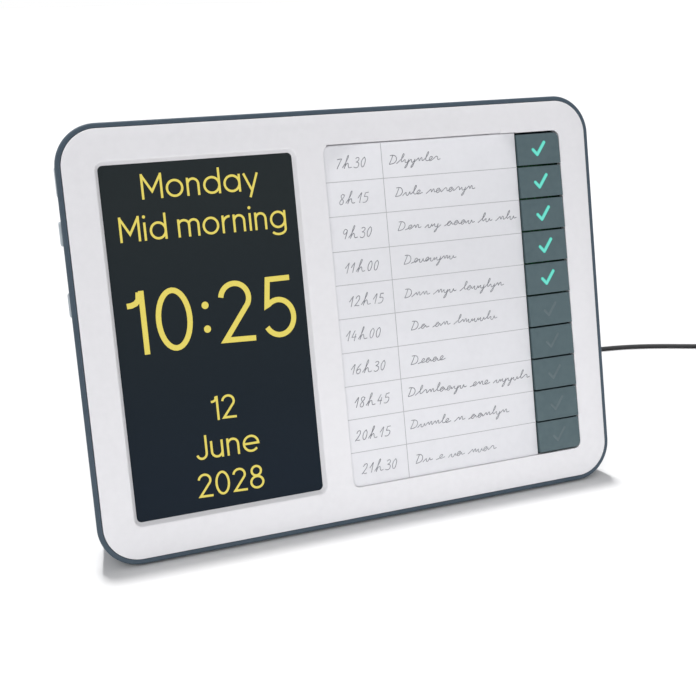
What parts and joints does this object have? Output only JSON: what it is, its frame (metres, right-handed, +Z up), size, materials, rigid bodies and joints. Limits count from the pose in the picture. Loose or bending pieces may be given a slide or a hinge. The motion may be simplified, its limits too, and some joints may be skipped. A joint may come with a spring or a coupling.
{
  "type": "day clock",
  "caption": "Day clock on a fold-out leg: upright colour display, daily planner card and a column of check buttons with lit ticks, with side buttons and a power lead.",
  "frame": {"origin": "middle of the standing clock's bounding box without its power lead, on the surface it stands on", "axes": "+X to the right along the housing's width, +Y from the face towards the fold-out leg, +Z up; the face looks along -Y and leans back 13.7 degrees"},
  "size_m": [0.4632, 0.1668, 0.1858],
  "materials": {
    "bezel_white": "fine satin moulded ABS",
    "housing_slate": "fine moulded texture",
    "key_slate": "satin moulded ABS",
    "flank_grey": "satin moulded ABS",
    "tick_lit": "translucent, lit from behind",
    "tick_unlit": "translucent, unlit",
    "display_glass": "anti-glare display surface",
    "display_text": "glowing digits",
    "card_white": "write-on polypropylene sheet",
    "print_grey": "printed rules",
    "pen_grey": "pen marks",
    "foot_rubber": "soft moulded rubber",
    "bright_steel": "nickel plated",
    "pressed_steel": "pressed sheet",
    "magnet_grey": "sintered",
    "cone_paper": "coated paper",
    "circuit_board": "solder mask",
    "switch_black": "moulded",
    "led_resin": "diffusing resin",
    "ribbon_amber": "polyimide film",
    "cord_black": "PVC jacket"
  },
  "bodies": {
    "clock_body": {"front_bezel": "bezel_white", "rear_housing": "housing_slate", "rubber_feet": "foot_rubber", "lcd_panel": "display_glass", "backlight_frame": "pressed_steel", "lcd_clips": "pressed_steel", "lcd_ribbon": "ribbon_amber", "key_board": "circuit_board", "key_switches": "switch_black", "tick_leds": "led_resin", "main_board": "circuit_board", "board_components": "switch_black", "cell_holder": "switch_black", "coin_cell": "bright_steel", "speaker_frame": "pressed_steel", "speaker_cone": "cone_paper", "speaker_magnet": "magnet_grey", "side_board": "circuit_board", "side_switches": "switch_black", "housing_screws": "bright_steel", "board_screws": "bright_steel", "stand_hinge_pin": "bright_steel", "dc_socket": "switch_black", "dc_plug": "cord_black", "plug_strain_relief": "cord_black", "power_cord": "cord_black", "cord_tail": "cord_black", "cord_coil": "cord_black", "usb_plug_body": "cord_black", "usb_plug_shell": "bright_steel"},
    "planner_card": {"planner_card": "card_white"},
    "stand": {"stand_leg": "housing_slate", "stand_foot_pad": "foot_rubber"},
    "check_key_01": {"check_button_01": "key_slate", "tick_lens_01": "tick_lit"},
    "check_key_02": {"check_button_02": "key_slate", "tick_lens_02": "tick_lit"},
    "check_key_03": {"check_button_03": "key_slate", "tick_lens_03": "tick_lit"},
    "check_key_04": {"check_button_04": "key_slate", "tick_lens_04": "tick_lit"},
    "check_key_05": {"check_button_05": "key_slate", "tick_lens_05": "tick_lit"},
    "check_key_06": {"check_button_06": "key_slate", "tick_lens_06": "tick_unlit"},
    "check_key_07": {"check_button_07": "key_slate", "tick_lens_07": "tick_unlit"},
    "check_key_08": {"check_button_08": "key_slate", "tick_lens_08": "tick_unlit"},
    "check_key_09": {"check_button_09": "key_slate", "tick_lens_09": "tick_unlit"},
    "check_key_10": {"check_button_10": "key_slate", "tick_lens_10": "tick_unlit"},
    "side_key_1": {"side_button_1": "flank_grey"},
    "side_key_2": {"side_button_2": "flank_grey"},
    "side_key_3": {"side_button_3": "flank_grey"}
  },
  "joints": [
    {"name": "stand_hinge", "type": "hinge", "parent": "clock_body", "child": "stand", "pos_m": [0, 0.01639, 0.13695], "axis": [1, 0, 0], "range_deg": [-22, 0]},
    {"name": "card_lift", "type": "slide", "parent": "clock_body", "child": "planner_card", "axis": [0, -0.9715, 0.2368], "range_m": [0, 0.012]},
    {"name": "check_key_01_press", "type": "slide", "parent": "clock_body", "child": "check_key_01", "axis": [0, 0.9715, -0.2368], "range_m": [0, 0.001], "stiffness_N_per_m": 1500, "springref_m": -0.0006},
    {"name": "check_key_02_press", "type": "slide", "parent": "clock_body", "child": "check_key_02", "axis": [0, 0.9715, -0.2368], "range_m": [0, 0.001], "stiffness_N_per_m": 1500, "springref_m": -0.0006},
    {"name": "check_key_03_press", "type": "slide", "parent": "clock_body", "child": "check_key_03", "axis": [0, 0.9715, -0.2368], "range_m": [0, 0.001], "stiffness_N_per_m": 1500, "springref_m": -0.0006},
    {"name": "check_key_04_press", "type": "slide", "parent": "clock_body", "child": "check_key_04", "axis": [0, 0.9715, -0.2368], "range_m": [0, 0.001], "stiffness_N_per_m": 1500, "springref_m": -0.0006},
    {"name": "check_key_05_press", "type": "slide", "parent": "clock_body", "child": "check_key_05", "axis": [0, 0.9715, -0.2368], "range_m": [0, 0.001], "stiffness_N_per_m": 1500, "springref_m": -0.0006},
    {"name": "check_key_06_press", "type": "slide", "parent": "clock_body", "child": "check_key_06", "axis": [0, 0.9715, -0.2368], "range_m": [0, 0.001], "stiffness_N_per_m": 1500, "springref_m": -0.0006},
    {"name": "check_key_07_press", "type": "slide", "parent": "clock_body", "child": "check_key_07", "axis": [0, 0.9715, -0.2368], "range_m": [0, 0.001], "stiffness_N_per_m": 1500, "springref_m": -0.0006},
    {"name": "check_key_08_press", "type": "slide", "parent": "clock_body", "child": "check_key_08", "axis": [0, 0.9715, -0.2368], "range_m": [0, 0.001], "stiffness_N_per_m": 1500, "springref_m": -0.0006},
    {"name": "check_key_09_press", "type": "slide", "parent": "clock_body", "child": "check_key_09", "axis": [0, 0.9715, -0.2368], "range_m": [0, 0.001], "stiffness_N_per_m": 1500, "springref_m": -0.0006},
    {"name": "check_key_10_press", "type": "slide", "parent": "clock_body", "child": "check_key_10", "axis": [0, 0.9715, -0.2368], "range_m": [0, 0.001], "stiffness_N_per_m": 1500, "springref_m": -0.0006},
    {"name": "side_key_1_press", "type": "slide", "parent": "clock_body", "child": "side_key_1", "axis": [1, 0, 0], "range_m": [0, 0.0008], "stiffness_N_per_m": 1500, "springref_m": -0.0006},
    {"name": "side_key_2_press", "type": "slide", "parent": "clock_body", "child": "side_key_2", "axis": [1, 0, 0], "range_m": [0, 0.0008], "stiffness_N_per_m": 1500, "springref_m": -0.0006},
    {"name": "side_key_3_press", "type": "slide", "parent": "clock_body", "child": "side_key_3", "axis": [1, 0, 0], "range_m": [0, 0.0008], "stiffness_N_per_m": 1500, "springref_m": -0.0006}
  ]
}
